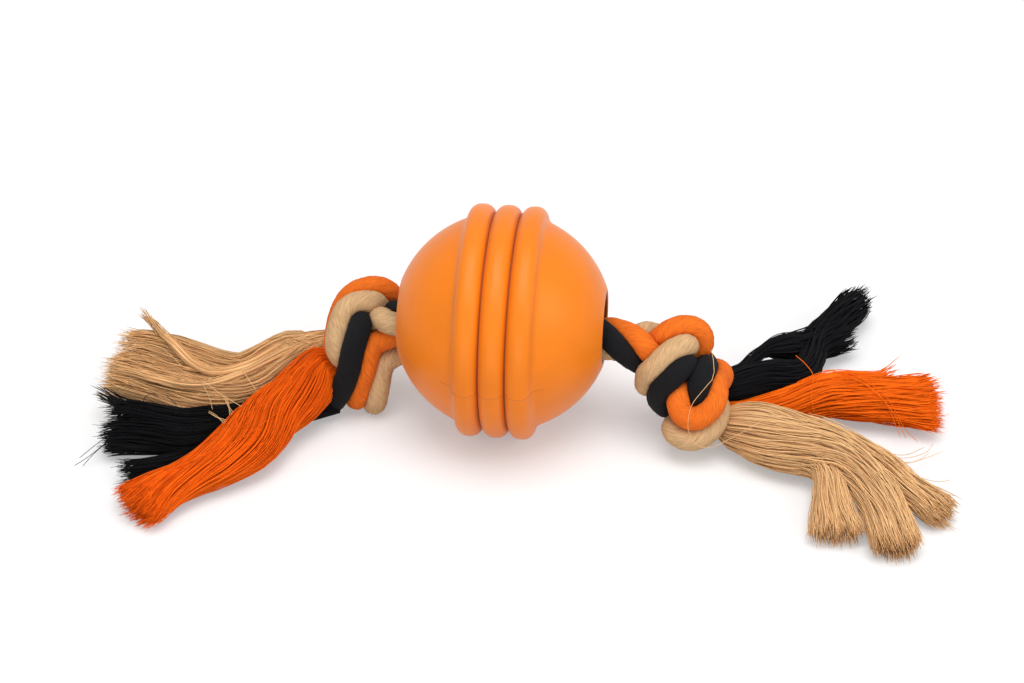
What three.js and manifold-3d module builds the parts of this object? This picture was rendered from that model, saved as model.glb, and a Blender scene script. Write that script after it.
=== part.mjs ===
// A hollow rubber ball on a knotted three-strand rope whose ends are unravelled into tassels.
// Millimetres, +Z up. The rope runs along X through the ball. The origin is on the floor under the ball.
import * as THREE from 'three';
import { mergeVertices } from 'three/addons/utils/BufferGeometryUtils.js';
import Module from 'manifold-3d';

const wasm = await Module();
wasm.setup();

// Clearance between neighbouring pieces, and between the rope and the floor.
const GAP = 0.3;
const FLOOR_GAP = 0.2;

// Ball.
const BALL_RADIUS = 37.5;
const BALL_WALL = 8.5;
const HOLE_RADIUS = 12;
const RIM_ROUND = 1.2;
const RIB_COUNT = 3;
const RIB_PITCH = 9;
const RIB_TOP_RADIUS = 40;
const RIB_LAND = 0.9;
const GROOVE_WIDTH = 0.3;
const RIB_ROUND = (RIB_PITCH - RIB_LAND - GROOVE_WIDTH) / 2;
const GROOVE_ANGLE = 0.12;
const BALL_SEGMENTS = 40;
const AXIS_HEIGHT = RIB_TOP_RADIUS * Math.cos(Math.PI / BALL_SEGMENTS);

// Rope.
const STRANDS = ['orange', 'black', 'tan'];
const STRAND_DIAMETER = 6.2;
const STRAND_RADIUS = STRAND_DIAMETER / 2;
const STRAND_SIDES = 8;
const STRAND_STEP = 3.6;
const LAY_PITCH = 31;
const LAY_ANGLE = -0.71;
const ROPE_DROP = 3.9;
const ROPE_HEIGHT = AXIS_HEIGHT - ROPE_DROP;

// The rope turns in the ball at the core's ends, bends at the pivots and runs straight to the mouths.
const CORE_HALF_LENGTH = 12;
const PIVOT_X = 33;
const STRAIGHT_END = 36;
const BEND_CLEARANCE = 0.5;

// The knots face forward, leaning back and turned a little to the right.
const KNOT_LEAN = 0.63;
const KNOT_TURN = 0.11;

// How the strands of a knot settle: they swell to full size, pulling straight and pushing each other apart.
const POINT_STEP = 2.6;
const SETTLE_ROUNDS = 160;
const SWELL_ROUNDS = 100;
const SWELL_START = 0.5;
const CONTACT_PASSES = 6;
const LAST_PASSES = 100;
const TENSION = 0.14;
const HOME_PULL = 0.07;
const PUSH = 0.8;
const CONTACT_MARGIN = 0.25;
const SELF_SKIP = 6;
const LEAST_BEND = 5;

// Each end of the rope. A strand's route in its knot is right, up and front of the knot's middle.
// root is where the strand ends and its tassel hangs on. A lock lists x, y, z, half width, half height.
const ENDS = {
  right: {
    sign: 1,
    middle: [64, -4, 24],
    strands: {
      orange: {
        knot: [
          [-18.2, 13.2, 5], [-14.6, 8.6, 6], [-11.5, 3.5, 1], [-6, 0.5, -4], [0, 2, -5],
          [3.8, 5.5, -4.5], [4.8, 9.8, -2], [5, 13.6, 1], [3.2, 16.8, 3.2], [-0.2, 18.2, 4],
          [-4, 17.6, 4.2], [-7.8, 15.4, 4.5], [-10.8, 11.6, 2.5], [-13.4, 6, -4], [-12, 1, -11],
          [-5, 1, -14.5], [3.6, 2, -15], [8, 0.4, -11], [9.4, -0.4, -5], [9.4, -0.8, 1.5],
          [9.2, -2.4, 7], [8.9, -5.4, 9.2], [7.6, -9.6, 9.5], [4.6, -13.6, 9], [0.8, -15.6, 8.5],
          [-3.2, -14.8, 8.5], [-4.9, -11.2, 8.8], [-3.4, -6.6, 9], [-1.4, -2.6, 7], [0.6, -4.5, 0],
          [6, -12.5, -8], [11, -13, -11],
        ],
        root: [80, 1, 7],
        locks: [
          [
            [89, 4, 6.5, 4.5, 4.8], [97, 5.6, 7.5, 6, 5.4], [105, 7.6, 8.5, 7.2, 6],
            [113, 10, 9, 8.8, 6.6], [122, 11.2, 9, 10, 6.8], [131, 12, 8.2, 11, 6.4],
            [140, 12.8, 7.4, 13.2, 6], [150.5, 14, 6.5, 16, 5.4],
          ],
        ],
      },
      black: {
        knot: [
          [-21.5, 9.4, 5.5], [-16.5, 7, 2.5], [-10, 3, -2], [-3, 0, -4], [2, 1, -2], [2.4, 4.8, 3],
          [0.8, 6.2, 8], [-1.8, 4.4, 11.2], [-5.2, 1.4, 11.5], [-8.7, -2.2, 9.5], [-10.3, -5.2, 5],
          [-9.7, -7.6, -2.5], [-6.3, -8.4, -9], [-1.8, -4, -18], [1.8, 3, -19], [4.2, 4.6, -13],
          [5, 4.6, -6], [5, 4.6, 0.5], [4.6, 4.2, 6.5], [3.8, 1.6, 10.2], [3.3, -1.5, 11.3],
          [2.7, -5.8, 9], [2.2, -7.8, 3], [3.5, -5.5, -4], [8, -2, -10],
        ],
        root: [77, 10, 13],
        locks: [
          [
            [85, 16, 11, 6, 5.6], [92, 18.8, 11, 6.6, 6.2], [99, 20.4, 10.5, 6.2, 6],
            [104, 26.8, 9.8, 6, 6], [106, 36, 9, 5.8, 5.8], [110.6, 46, 8.5, 6.2, 5.8],
            [116.5, 56.5, 8, 6.6, 5.8], [122.5, 68, 7.5, 7, 5.4],
          ],
          [
            [84, 20, 13.5, 3, 2.8], [89, 26.5, 13.5, 2.6, 2.4], [94, 31.8, 12.8, 4.2, 3.8],
            [99.6, 37.8, 11, 5.4, 4.8], [105, 41.8, 9.4, 5.6, 5],
          ],
        ],
      },
      tan: {
        knot: [
          [-22, 9, -2], [-17, 12, -1.5], [-12.5, 13.5, -3.5], [-6, 9, -9], [-0.5, 7, -9],
          [1.5, 8.4, -6], [1.8, 9.8, -1], [3.2, 11.4, 4.5], [2.2, 12.2, 8.4], [-2.6, 11, 9.4],
          [-7.3, 8.6, 9.4], [-11, 6, 7.4], [-12.9, 3.2, 2], [-12.4, 0.4, -5], [-8, -5, -10],
          [0, -7.5, -12.5], [7, -8, -11], [10.4, -9.4, -6.5], [11, -11, -1], [10.4, -13.2, 3.5],
          [8.9, -17, 5], [5, -20.4, 5], [0, -21.6, 4.5], [-5.7, -19.6, 4.5], [-8.8, -15.6, 3],
          [-7, -13.8, -3.5], [1, -16.5, -3.5], [7, -17, -3.5],
        ],
        root: [78, -9, 9],
        locks: [
          [
            [86, -13, 8.5, 9.6, 7.4], [93, -15.4, 9.6, 12.6, 8.8], [100, -18, 9.8, 13.4, 9],
            [107, -21, 9.6, 12.8, 8.6], [113, -28, 9, 12.5, 8], [118.4, -37.5, 8, 13.5, 7.2],
            [122.4, -47, 7, 16, 6.4], [125, -55.5, 6.2, 18, 5.6], [126.6, -63.5, 5.4, 19, 4.8],
          ],
          [
            [86, -13, 8.5, 8, 7], [93, -12.5, 10, 8.6, 7.4], [100, -13.6, 10.4, 8.8, 7.2],
            [108, -15.2, 10, 8.6, 7], [120, -19.8, 9, 8.2, 6.4], [131, -26.5, 7.8, 7.4, 5.8],
            [141, -36, 6.6, 7, 5.4], [152.5, -44.5, 5.6, 7.4, 4.8],
          ],
        ],
      },
    },
  },
  left: {
    sign: -1,
    middle: [-50, 3, 25],
    strands: {
      orange: {
        knot: [
          [12.7, -0.3, 8.5], [8, 1.2, 7], [4.4, 0.6, 6.5], [2.7, -3, 7], [2.2, -7.8, 5.5],
          [0.8, -14.4, 1.5], [-0.8, -21, -3], [-2.5, -18.5, -9.5], [-2.5, -11, -14], [0, -3, -17],
          [4, 4, -17], [8.5, 9, -13], [11.4, 12.6, -8], [9.6, 15.2, -2.5], [5.8, 17.8, 0],
          [0.8, 18.8, 1], [-3.6, 16.8, 0.5], [-6.6, 12.2, -1], [-8.4, 6, -2.5], [-9.6, -1, -4],
        ],
        root: [-60.5, -4, 17],
        locks: [
          [
            [-68, -11, 14, 9.6, 7.4], [-77.5, -23, 10.5, 11, 8], [-84.5, -38.5, 9, 12.4, 7.6],
            [-92.6, -48.5, 8, 10.2, 6.8], [-100.5, -56, 7, 8.4, 6], [-108.5, -63.2, 6, 9.8, 5.2],
            [-115.5, -71, 5.4, 12.6, 4.6],
          ],
        ],
      },
      black: {
        knot: [
          [12, 12.2, 6], [10, 10, 0], [9, 3, -5], [4, -2, -3], [-2, -1, -1], [-3.2, 4, 0],
          [-0.5, 9.2, 2.5], [1.8, 10, 7], [1.3, 8, 11.5], [-0.2, 3.5, 13.5], [-2.4, -3.3, 11.5],
          [-3.9, -10, 8], [-5.2, -14.8, 4.5], [-8, -18.2, 1],
        ],
        root: [-60, -9.5, 5.5],
        locks: [
          [
            [-69, -16, 4.2, 4.5, 3.8], [-81, -20.5, 4.8, 6, 4.4], [-90, -23, 6.8, 7.5, 5.8],
            [-98, -29, 7.6, 8.8, 6.6], [-106, -33.5, 8, 9.4, 7], [-115, -33, 8, 9.6, 7],
            [-124.5, -32, 7.8, 9.8, 6.8], [-133.5, -33.5, 7, 9, 6],
          ],
          [
            [-69, -16, 4.2, 4, 3.6], [-82, -24, 4.6, 5, 4], [-92.5, -32, 5, 5, 4.4],
            [-100, -39, 5, 5, 4.5], [-107, -45, 5, 5.2, 4.5], [-115, -48.5, 5, 5.6, 4.5],
            [-123.5, -50.5, 4.7, 6, 4.2],
          ],
          [
            [-69, -16, 4.2, 4, 3.6], [-84, -20, 6, 4, 3.4], [-100, -28, 10.4, 4, 3.4],
            [-115, -28.5, 12, 3.6, 3], [-124, -26, 11.6, 3.4, 2.8], [-131, -22.4, 10.4, 3.2, 2.4],
            [-140, -15, 8, 3.4, 2.2],
          ],
        ],
      },
      tan: {
        knot: [
          [12, 3.6, 12.5], [8.9, 7.2, 12], [6.9, 9, 9], [6.2, 9.6, 2.5], [3.4, 8.6, -3], [1.5, 3, -7],
          [2, -5, -9], [3, -12, -11.5], [3.2, -19, -12], [3.8, -24, -7], [4.5, -21, -2], [5.2, -13, 1],
          [8, -5.6, 3], [11.5, -4.6, 3], [14.8, -4, 0], [15.5, 0, -6], [12, 3, -11], [6, 0, -12],
          [0, -5, -9], [-3, -9, -3], [-6.3, -7.8, 3], [-8.6, -2.6, 7], [-8, 2.8, 8.5], [-6.1, 7.6, 8],
          [-2.6, 11.6, 7.5], [1.6, 13.6, 7], [5.2, 13.8, 5.5], [8.4, 12.8, 1], [9.2, 9, -4],
          [4, 6, -10], [-4, 5, -11.5], [-10, 3, -11],
        ],
        root: [-64, 9, 20],
        locks: [
          [
            [-73, 8, 17.5, 6.4, 6], [-80.2, 3.4, 14.5, 10, 6.4], [-88.4, -1.8, 11.2, 11.8, 7],
            [-97.1, -2.4, 9.6, 12, 7.2], [-111.9, -0.2, 8.8, 13, 7.2], [-125.7, 5, 8.2, 13.4, 6.8],
            [-137.5, 7, 7.5, 13, 6.2],
          ],
          [
            [-73, 8, 17.5, 4, 4], [-80, 4.6, 17.6, 3, 3], [-87, -1.6, 16.4, 2.8, 2.4],
            [-94, -6, 15.6, 2.6, 2.2], [-101.5, -7, 15.4, 2.5, 2.1], [-109.5, -3.2, 16.4, 2.4, 2],
            [-117, 4.2, 17.6, 2.2, 1.8], [-123.5, 13, 15.8, 1.9, 1.6], [-128.5, 22, 13.4, 1.7, 1.5],
            [-133, 29.5, 11.6, 1.5, 1.4],
          ],
          [
            [-73, 8, 17.5, 4, 4], [-78, 2.6, 11.4, 5, 4.6], [-84.7, -2.6, 8.2, 5.4, 5],
            [-91.2, -7, 6.6, 5, 4.6], [-99.6, -9.2, 6, 5, 4.6], [-110.1, -9.5, 6, 5.2, 4.8],
            [-121.7, -7.2, 6, 5.2, 4.6], [-132, -4.8, 5.8, 5, 4.2], [-138, -3.6, 5.2, 4.8, 3.8],
          ],
        ],
      },
    },
  },
};

// Which tassels of an end are cut clear of the ones before them.
const TASSEL_ORDER = ['orange', 'tan', 'black'];
const TASSEL_SIDES = 12;
const TASSEL_GAP = 1.8;
const ROOT_GAP = 0.6;
const RINGS_PER_POINT = 2;

const RUBBER = { color: '#f58f2c', roughness: 0.45, metalness: 0 };
const YARN = { orange: '#f2641c', black: '#17171b', tan: '#cda878' };

// Solid helpers.
function toSolid(geometry) {
  const plain = geometry.clone();
  plain.deleteAttribute('normal');
  plain.deleteAttribute('uv');
  const merged = mergeVertices(plain, 1e-4);
  const mesh = new wasm.Mesh({
    numProp: 3,
    vertProperties: new Float32Array(merged.attributes.position.array),
    triVerts: new Uint32Array(merged.index.array),
  });
  return new wasm.Manifold(mesh);
}

function toGeometry(solid) {
  const mesh = solid.getMesh();
  const geometry = new THREE.BufferGeometry();
  geometry.setAttribute('position', new THREE.BufferAttribute(mesh.vertProperties, 3));
  geometry.setIndex(new THREE.BufferAttribute(mesh.triVerts, 1));
  geometry.computeVertexNormals();
  return geometry;
}

function largestBody(solid) {
  return solid.decompose().reduce((best, body) => (body.volume() > best.volume() ? body : best));
}

// Ball: an outline in distance from the axis and place along it, revolved about X.
function arc(centreR, centreX, radius, from, to, steps) {
  return Array.from({ length: steps + 1 }, (_, i) => {
    const angle = from + ((to - from) * i) / steps;
    return new THREE.Vector2(centreR + radius * Math.sin(angle), centreX + radius * Math.cos(angle));
  });
}

function ribOutline(x) {
  const centre = RIB_TOP_RADIUS - RIB_ROUND;
  const side = RIB_LAND / 2;
  return [
    ...arc(centre, x + side, RIB_ROUND, GROOVE_ANGLE, Math.PI / 2, 3),
    ...arc(centre, x - side, RIB_ROUND, Math.PI / 2, Math.PI - GROOVE_ANGLE, 3),
  ];
}

function ballOutline() {
  const cavity = BALL_RADIUS - BALL_WALL;
  const outerRib = ((RIB_COUNT - 1) / 2) * RIB_PITCH;
  const mouth = Math.asin((HOLE_RADIUS + RIM_ROUND) / BALL_RADIUS);
  const shoulder = Math.acos((outerRib + RIB_LAND / 2 + RIB_ROUND) / BALL_RADIUS);
  const inner = Math.asin(HOLE_RADIUS / cavity);
  const rimX = BALL_RADIUS * Math.cos(mouth) - RIM_ROUND / 2;
  const outside = [new THREE.Vector2(HOLE_RADIUS, rimX), ...arc(0, 0, BALL_RADIUS, mouth, shoulder, 5)];
  for (let rib = 0; rib < RIB_COUNT; rib += 1) {
    outside.push(...ribOutline(outerRib - rib * RIB_PITCH));
  }
  outside.push(...arc(0, 0, BALL_RADIUS, Math.PI - shoulder, Math.PI - mouth, 5));
  outside.push(new THREE.Vector2(HOLE_RADIUS, -rimX));
  const inside = arc(0, 0, cavity, Math.PI - inner, inner, 9);
  return [...outside, ...inside, outside[0].clone()].reverse();
}

function makeBall() {
  const geometry = new THREE.LatheGeometry(ballOutline(), BALL_SEGMENTS, Math.PI / BALL_SEGMENTS);
  geometry.rotateZ(-Math.PI / 2);
  geometry.translate(0, 0, AXIS_HEIGHT);
  return geometry;
}

// Lay: the least helix radius at which three strands of this pitch clear each other.
function strandSpacing(radius) {
  const apart = (2 * Math.PI) / STRANDS.length;
  let least = Infinity;
  for (let turn = -apart; turn <= 0; turn += 0.02) {
    const across = 2 * radius * Math.sin((apart + turn) / 2);
    least = Math.min(least, Math.hypot(across, (LAY_PITCH * turn) / (2 * Math.PI)));
  }
  return least;
}

function leastLayRadius() {
  let radius = STRAND_RADIUS;
  while (strandSpacing(radius) < STRAND_DIAMETER + GAP) {
    radius += 0.02;
  }
  return radius;
}

const LAY_RADIUS = leastLayRadius();

function layPoint(strand, x) {
  const angle = LAY_ANGLE + (2 * Math.PI * strand) / STRANDS.length + (2 * Math.PI * x) / LAY_PITCH;
  return new THREE.Vector3(x, LAY_RADIUS * Math.cos(angle), ROPE_HEIGHT + LAY_RADIUS * Math.sin(angle));
}

function layRun(strand, from, to) {
  const steps = Math.ceil(Math.abs(to - from) / POINT_STEP);
  return Array.from({ length: steps + 1 }, (_, i) => layPoint(strand, from + ((to - from) * i) / steps));
}

// Knots: each strand's drawn route, placed in the part.
function placeInKnot(end, [right, up, front]) {
  return new THREE.Vector3(right, -front, up)
    .applyAxisAngle(new THREE.Vector3(1, 0, 0), -KNOT_LEAN)
    .applyAxisAngle(new THREE.Vector3(0, 0, 1), KNOT_TURN)
    .add(new THREE.Vector3(...end.middle));
}

// The way a strand leaves its knot is the way its tassel sets off.
function rootDirection({ root, locks }) {
  const first = new THREE.Vector3(...locks[0][0].slice(0, 3));
  return first.sub(new THREE.Vector3(...root)).normalize();
}

function drawnRoute(end, name) {
  const strand = end.strands[name];
  const root = new THREE.Vector3(...strand.root);
  const beforeRoot = root.clone().addScaledVector(rootDirection(strand), -POINT_STEP);
  const straight = layRun(STRANDS.indexOf(name), end.sign * CORE_HALF_LENGTH, end.sign * STRAIGHT_END);
  const knot = strand.knot.map((point) => placeInKnot(end, point));
  const curve = new THREE.CatmullRomCurve3([straight.at(-1), ...knot, beforeRoot], false, 'centripetal');
  const points = curve.getSpacedPoints(Math.round(curve.getLength() / POINT_STEP));
  return {
    points: [...straight.slice(0, -1), ...points, root],
    pinnedStart: straight.length,
    pinnedEnd: 2,
  };
}

// Settling: strands pull straight, stay near their drawn routes and push away whatever they touch.
function pushApart(a, b, aFree, bFree, reach) {
  const distance = a.distanceTo(b);
  if (distance >= reach || !(aFree || bFree)) {
    return;
  }
  const share = (PUSH * (reach - distance)) / distance / (aFree && bFree ? 2 : 1);
  const push = a.clone().sub(b).multiplyScalar(share);
  if (aFree) {
    a.add(push);
  }
  if (bFree) {
    b.sub(push);
  }
}

function keepOutside(point) {
  point.z = Math.max(point.z, STRAND_RADIUS + FLOOR_GAP);
  const centre = new THREE.Vector3(0, 0, AXIS_HEIGHT);
  const inHole = Math.hypot(point.y, point.z - AXIS_HEIGHT) < HOLE_RADIUS - STRAND_RADIUS - BEND_CLEARANCE;
  const least = BALL_RADIUS + STRAND_RADIUS + BEND_CLEARANCE;
  if (!inHole && point.distanceTo(centre) < least) {
    point.sub(centre).setLength(least).add(centre);
  }
}

// No strand bends tighter than LEAST_BEND.
function easeBend(points, i) {
  const middle = points[i - 1].clone().add(points[i + 1]).multiplyScalar(0.5);
  const step = points[i - 1].distanceTo(points[i + 1]) / 2;
  const most = (step * step) / (2 * LEAST_BEND);
  const bow = middle.distanceTo(points[i]);
  if (bow > most) {
    points[i].lerp(middle, (1 - most / bow) / 2);
  }
}

function makeContact(lines, isFree, reach) {
  lines.forEach((a, first) => {
    lines.slice(first).forEach((b, offset) => {
      a.points.forEach((point, i) => {
        for (let j = offset === 0 ? i + SELF_SKIP : 0; j < b.points.length; j += 1) {
          pushApart(point, b.points[j], isFree(a, i), isFree(b, j), reach);
        }
      });
    });
    a.points.forEach((point, i) => {
      if (isFree(a, i)) {
        easeBend(a.points, i);
        keepOutside(point);
      }
    });
  });
}

function settle(lines) {
  const isFree = (line, i) => i >= line.pinnedStart && i < line.points.length - line.pinnedEnd;
  const home = lines.map((line) => line.points.map((point) => point.clone()));
  const fullReach = STRAND_DIAMETER + GAP + CONTACT_MARGIN;
  for (let round = 0; round < SETTLE_ROUNDS; round += 1) {
    const swell = Math.min(1, SWELL_START + ((1 - SWELL_START) * round) / SWELL_ROUNDS);
    lines.forEach((line, l) => {
      const before = line.points.map((point) => point.clone());
      line.points.forEach((point, i) => {
        if (isFree(line, i)) {
          const middle = before[i - 1].clone().add(before[i + 1]).multiplyScalar(0.5);
          point.lerp(middle, TENSION).lerp(home[l][i], HOME_PULL);
        }
      });
    });
    for (let pass = 0; pass < CONTACT_PASSES; pass += 1) {
      makeContact(lines, isFree, fullReach * swell);
    }
  }
  for (let pass = 0; pass < LAST_PASSES; pass += 1) {
    makeContact(lines, isFree, fullReach);
  }
  return lines.map((line) => line.points);
}

// Strand solids.
function circle(radius, sides) {
  const corners = Array.from({ length: sides }, (_, i) => (2 * Math.PI * i) / sides);
  return new THREE.Shape(corners.map((a) => new THREE.Vector2(radius * Math.cos(a), radius * Math.sin(a))));
}

function strandTube(points, radius) {
  const curve = new THREE.CatmullRomCurve3(points, false, 'centripetal');
  const steps = Math.ceil(curve.getLength() / STRAND_STEP);
  return new THREE.ExtrudeGeometry(circle(radius, STRAND_SIDES), { steps, extrudePath: curve });
}

// At the mouth the rope bends inside a sphere: a strand's knot side ends in it and its neck clears it.
const BEND_RADIUS = LAY_RADIUS + STRAND_RADIUS + BEND_CLEARANCE;

function bendSphere(sign, radius) {
  const geometry = new THREE.SphereGeometry(radius, 24, 16);
  geometry.translate(sign * PIVOT_X, 0, ROPE_HEIGHT);
  return toSolid(geometry);
}

function slab(from, to) {
  const size = 2 * BALL_RADIUS;
  const geometry = new THREE.BoxGeometry(Math.abs(to - from), size, size);
  geometry.translate((from + to) / 2, 0, AXIS_HEIGHT);
  return toSolid(geometry);
}

// The core and the necks meet in flat faces across the rope, so that they can turn against each other.
function coreSolid(strand) {
  const past = CORE_HALF_LENGTH + STRAND_DIAMETER;
  const tube = toSolid(strandTube(layRun(strand, -past, past), STRAND_RADIUS));
  return tube.intersect(slab(-CORE_HALF_LENGTH, CORE_HALF_LENGTH));
}

function neckSolid(sign, strand) {
  const run = layRun(strand, sign * (CORE_HALF_LENGTH - STRAND_DIAMETER), sign * STRAIGHT_END);
  const tube = toSolid(strandTube(run, STRAND_RADIUS));
  const between = slab(sign * (CORE_HALF_LENGTH + GAP), sign * PIVOT_X);
  return largestBody(tube.intersect(between).subtract(bendSphere(sign, BEND_RADIUS + GAP)));
}

// Each knotted strand gives way to the ones before it wherever they are still closer than GAP.
function knotSolids(sign, knots) {
  const outsideBend = slab(0, sign * PIVOT_X).subtract(bendSphere(sign, BEND_RADIUS));
  return knots.map((points, strand) => {
    const earlier = knots.slice(0, strand).map((other) => toSolid(strandTube(other, STRAND_RADIUS + GAP)));
    const tube = toSolid(strandTube(points, STRAND_RADIUS));
    return largestBody(earlier.reduce((rest, grown) => rest.subtract(grown), tube.subtract(outsideBend)));
  });
}

// Tassels: round noses that turn against the strands' ends, then locks that swell and lie on the floor.
function noseCentre(strand) {
  return new THREE.Vector3(...strand.root).addScaledVector(rootDirection(strand), STRAND_RADIUS + ROOT_GAP);
}

function lockStations(strand, lock, grow) {
  const centre = noseCentre(strand);
  const direction = rootDirection(strand);
  const nose = [0.45, 1, Math.PI / 2].map((angle) => ({
    centre: centre.clone().addScaledVector(direction, -STRAND_RADIUS * Math.cos(angle)),
    width: STRAND_RADIUS * Math.sin(angle) + grow,
    height: STRAND_RADIUS * Math.sin(angle) + grow,
  }));
  const places = lock.map((point) => new THREE.Vector3(...point.slice(0, 3)));
  const spine = new THREE.CatmullRomCurve3([centre, ...places]);
  const sections = lock.map((point) => new THREE.Vector3(point[3], point[4], 0));
  const first = new THREE.Vector3(STRAND_RADIUS, STRAND_RADIUS, 0);
  const size = new THREE.CatmullRomCurve3([first, ...sections]);
  const rings = lock.length * RINGS_PER_POINT;
  const body = Array.from({ length: rings }, (_, i) => {
    const along = (i + 1) / rings;
    const section = size.getPoint(along);
    return { centre: spine.getPoint(along), width: section.x + grow, height: section.y + grow };
  });
  return [...nose, ...body];
}

function lockSolid(strand, lock, grow) {
  const stations = lockStations(strand, lock, grow);
  const geometry = new THREE.CylinderGeometry(1, 1, 1, TASSEL_SIDES, stations.length - 1);
  const position = geometry.attributes.position;
  const up = new THREE.Vector3(0, 0, 1);
  for (let i = 0; i < position.count; i += 1) {
    const ring = Math.round((0.5 - position.getY(i)) * (stations.length - 1));
    const { centre, width, height } = stations[ring];
    const ahead = stations[Math.min(ring + 1, stations.length - 1)].centre;
    const behind = stations[Math.max(ring - 1, 0)].centre;
    const along = ahead.clone().sub(behind).normalize();
    const side = new THREE.Vector3().crossVectors(up, along).normalize();
    const over = new THREE.Vector3().crossVectors(along, side);
    const vertex = centre
      .clone()
      .addScaledVector(side, width * position.getX(i))
      .addScaledVector(over, height * position.getZ(i));
    position.setXYZ(i, vertex.x, vertex.y, Math.max(vertex.z, FLOOR_GAP));
  }
  return toSolid(geometry);
}

function tasselSolid(strand, grow) {
  return strand.locks.map((lock) => lockSolid(strand, lock, grow)).reduce((a, b) => a.add(b));
}

function tasselSolids(end, knots) {
  const strandsGrown = knots.map((points) => toSolid(strandTube(points, STRAND_RADIUS + TASSEL_GAP)));
  const made = {};
  TASSEL_ORDER.forEach((name, i) => {
    let solid = tasselSolid(end.strands[name], 0);
    strandsGrown.forEach((grown) => {
      solid = solid.subtract(grown);
    });
    TASSEL_ORDER.slice(0, i).forEach((other) => {
      solid = solid.subtract(tasselSolid(end.strands[other], TASSEL_GAP));
    });
    made[name] = largestBody(solid);
  });
  return made;
}

// Assembly.
const toy = new THREE.Group();

function addPiece(name, geometry, material) {
  const mesh = new THREE.Mesh(geometry, new THREE.MeshStandardMaterial(material));
  mesh.name = name;
  toy.add(mesh);
}

const yarn = (name) => ({ color: YARN[name], roughness: 0.9, metalness: 0 });

addPiece('ball_shell', makeBall(), RUBBER);

STRANDS.forEach((name, strand) => {
  addPiece(`${name}_core_strand`, toGeometry(coreSolid(strand)), yarn(name));
});

Object.entries(ENDS).forEach(([side, end]) => {
  const knots = settle(STRANDS.map((name) => drawnRoute(end, name)));
  const strands = knotSolids(end.sign, knots);
  const tassels = tasselSolids(end, knots);
  STRANDS.forEach((name, strand) => {
    addPiece(`${side}_${name}_neck_strand`, toGeometry(neckSolid(end.sign, strand)), yarn(name));
    addPiece(`${side}_${name}_knot_strand`, toGeometry(strands[strand]), yarn(name));
    addPiece(`${side}_${name}_tassel`, toGeometry(tassels[name]), yarn(name));
  });
});

export default toy;
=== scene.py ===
"""A hollow rubber ball on a knotted three-strand rope whose ends are unravelled into tassels."""

import math

import bpy
import numpy as np
from mathutils import Matrix


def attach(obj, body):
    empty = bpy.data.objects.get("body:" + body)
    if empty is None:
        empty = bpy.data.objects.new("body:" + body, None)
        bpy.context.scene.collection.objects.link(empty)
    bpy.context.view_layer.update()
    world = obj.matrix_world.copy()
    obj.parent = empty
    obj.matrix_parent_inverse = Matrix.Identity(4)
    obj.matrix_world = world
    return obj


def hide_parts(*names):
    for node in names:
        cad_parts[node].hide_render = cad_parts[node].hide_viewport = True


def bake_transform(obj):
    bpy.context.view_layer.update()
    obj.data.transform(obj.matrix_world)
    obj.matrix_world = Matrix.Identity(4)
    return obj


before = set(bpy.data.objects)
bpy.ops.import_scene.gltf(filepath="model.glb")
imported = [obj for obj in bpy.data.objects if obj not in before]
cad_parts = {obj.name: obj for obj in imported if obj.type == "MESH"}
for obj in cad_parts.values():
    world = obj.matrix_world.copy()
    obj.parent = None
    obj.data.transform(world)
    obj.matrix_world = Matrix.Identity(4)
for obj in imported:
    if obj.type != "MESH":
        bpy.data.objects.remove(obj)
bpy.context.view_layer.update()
rng = np.random.default_rng(11)

# Lengths below are in millimetres unless they say otherwise, and MM turns them into Blender's metres.
MM = 0.001

# Camera: the photograph's angle, lens and framing. The ball stands left of and above the picture's middle.
CAMERA_AZIMUTH = math.radians(6.3)
CAMERA_ELEVATION = math.radians(36)
CAMERA_DISTANCE = 973
CAMERA_TARGET = (0, 0, 40)
CAMERA_RIGHT = 3.1
CAMERA_DOWN = 7.0
LENS = 100
SENSOR_WIDTH = 36

# Ball.
BALL_RADIUS = 37.5
BALL_WALL = 8.5
HOLE_RADIUS = 12
RIM_ROUND = 1.2
RIB_PITCH = 9
RIB_TOP_RADIUS = 39.87
RIB_LAND = 0.9
GROOVE_WIDTH = 0.3
GROOVE_ANGLE = 0.1
RIB_ROUND = (RIB_PITCH - RIB_LAND - GROOVE_WIDTH) / 2
SHOULDER_FILLET = 1.1
AXIS_HEIGHT = 39.877
PARTING_ANGLE = math.radians(-4.5)
PARTING_HEIGHT = 0.22
PARTING_WIDTH = 0.24
PARTING_BAND = 0.04
OUTLINE_STEP = 0.3
SHOULDER_ROUNDS = 40
SHOULDER_BLEND = 2.2
BALL_COLUMNS = 180
PARTING_COLUMNS = 13
RIM_POINTS = 6
RIB_POINTS = 18
SPHERE_POINTS = 60
CAVITY_POINTS = 40

# Rope. Strands are soft: they are drawn a little fatter than they lie apart, and flatten where they meet.
STRANDS = ("orange", "black", "tan")
STRAND_SPACING = 6.4
STRAND_RADIUS = 4.05
STRAND_SIDES = 44
STRAND_STEP = 0.7
YARN_PITCH = 30
RIDGE_HEIGHT = 0.07
RIDGES = 13
RIDGE_WANDER = 0.7
WANDER_LENGTH = 9
FINE_RIDGE_HEIGHT = 0.05
FINE_RIDGES = 7
FIBRE_TURNS = 24
FIBRE_STRETCH = 0.5
FLATTEN_REACH = 0.6
LEAST_FACING = 0.05
LAY_RADIUS = 4.0
LAY_PITCH = 31
LAY_ANGLE = -0.71
CORE_HALF_LENGTH = 12
STRAIGHT_END = 36
ROPE_HEIGHT = 35.977

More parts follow.
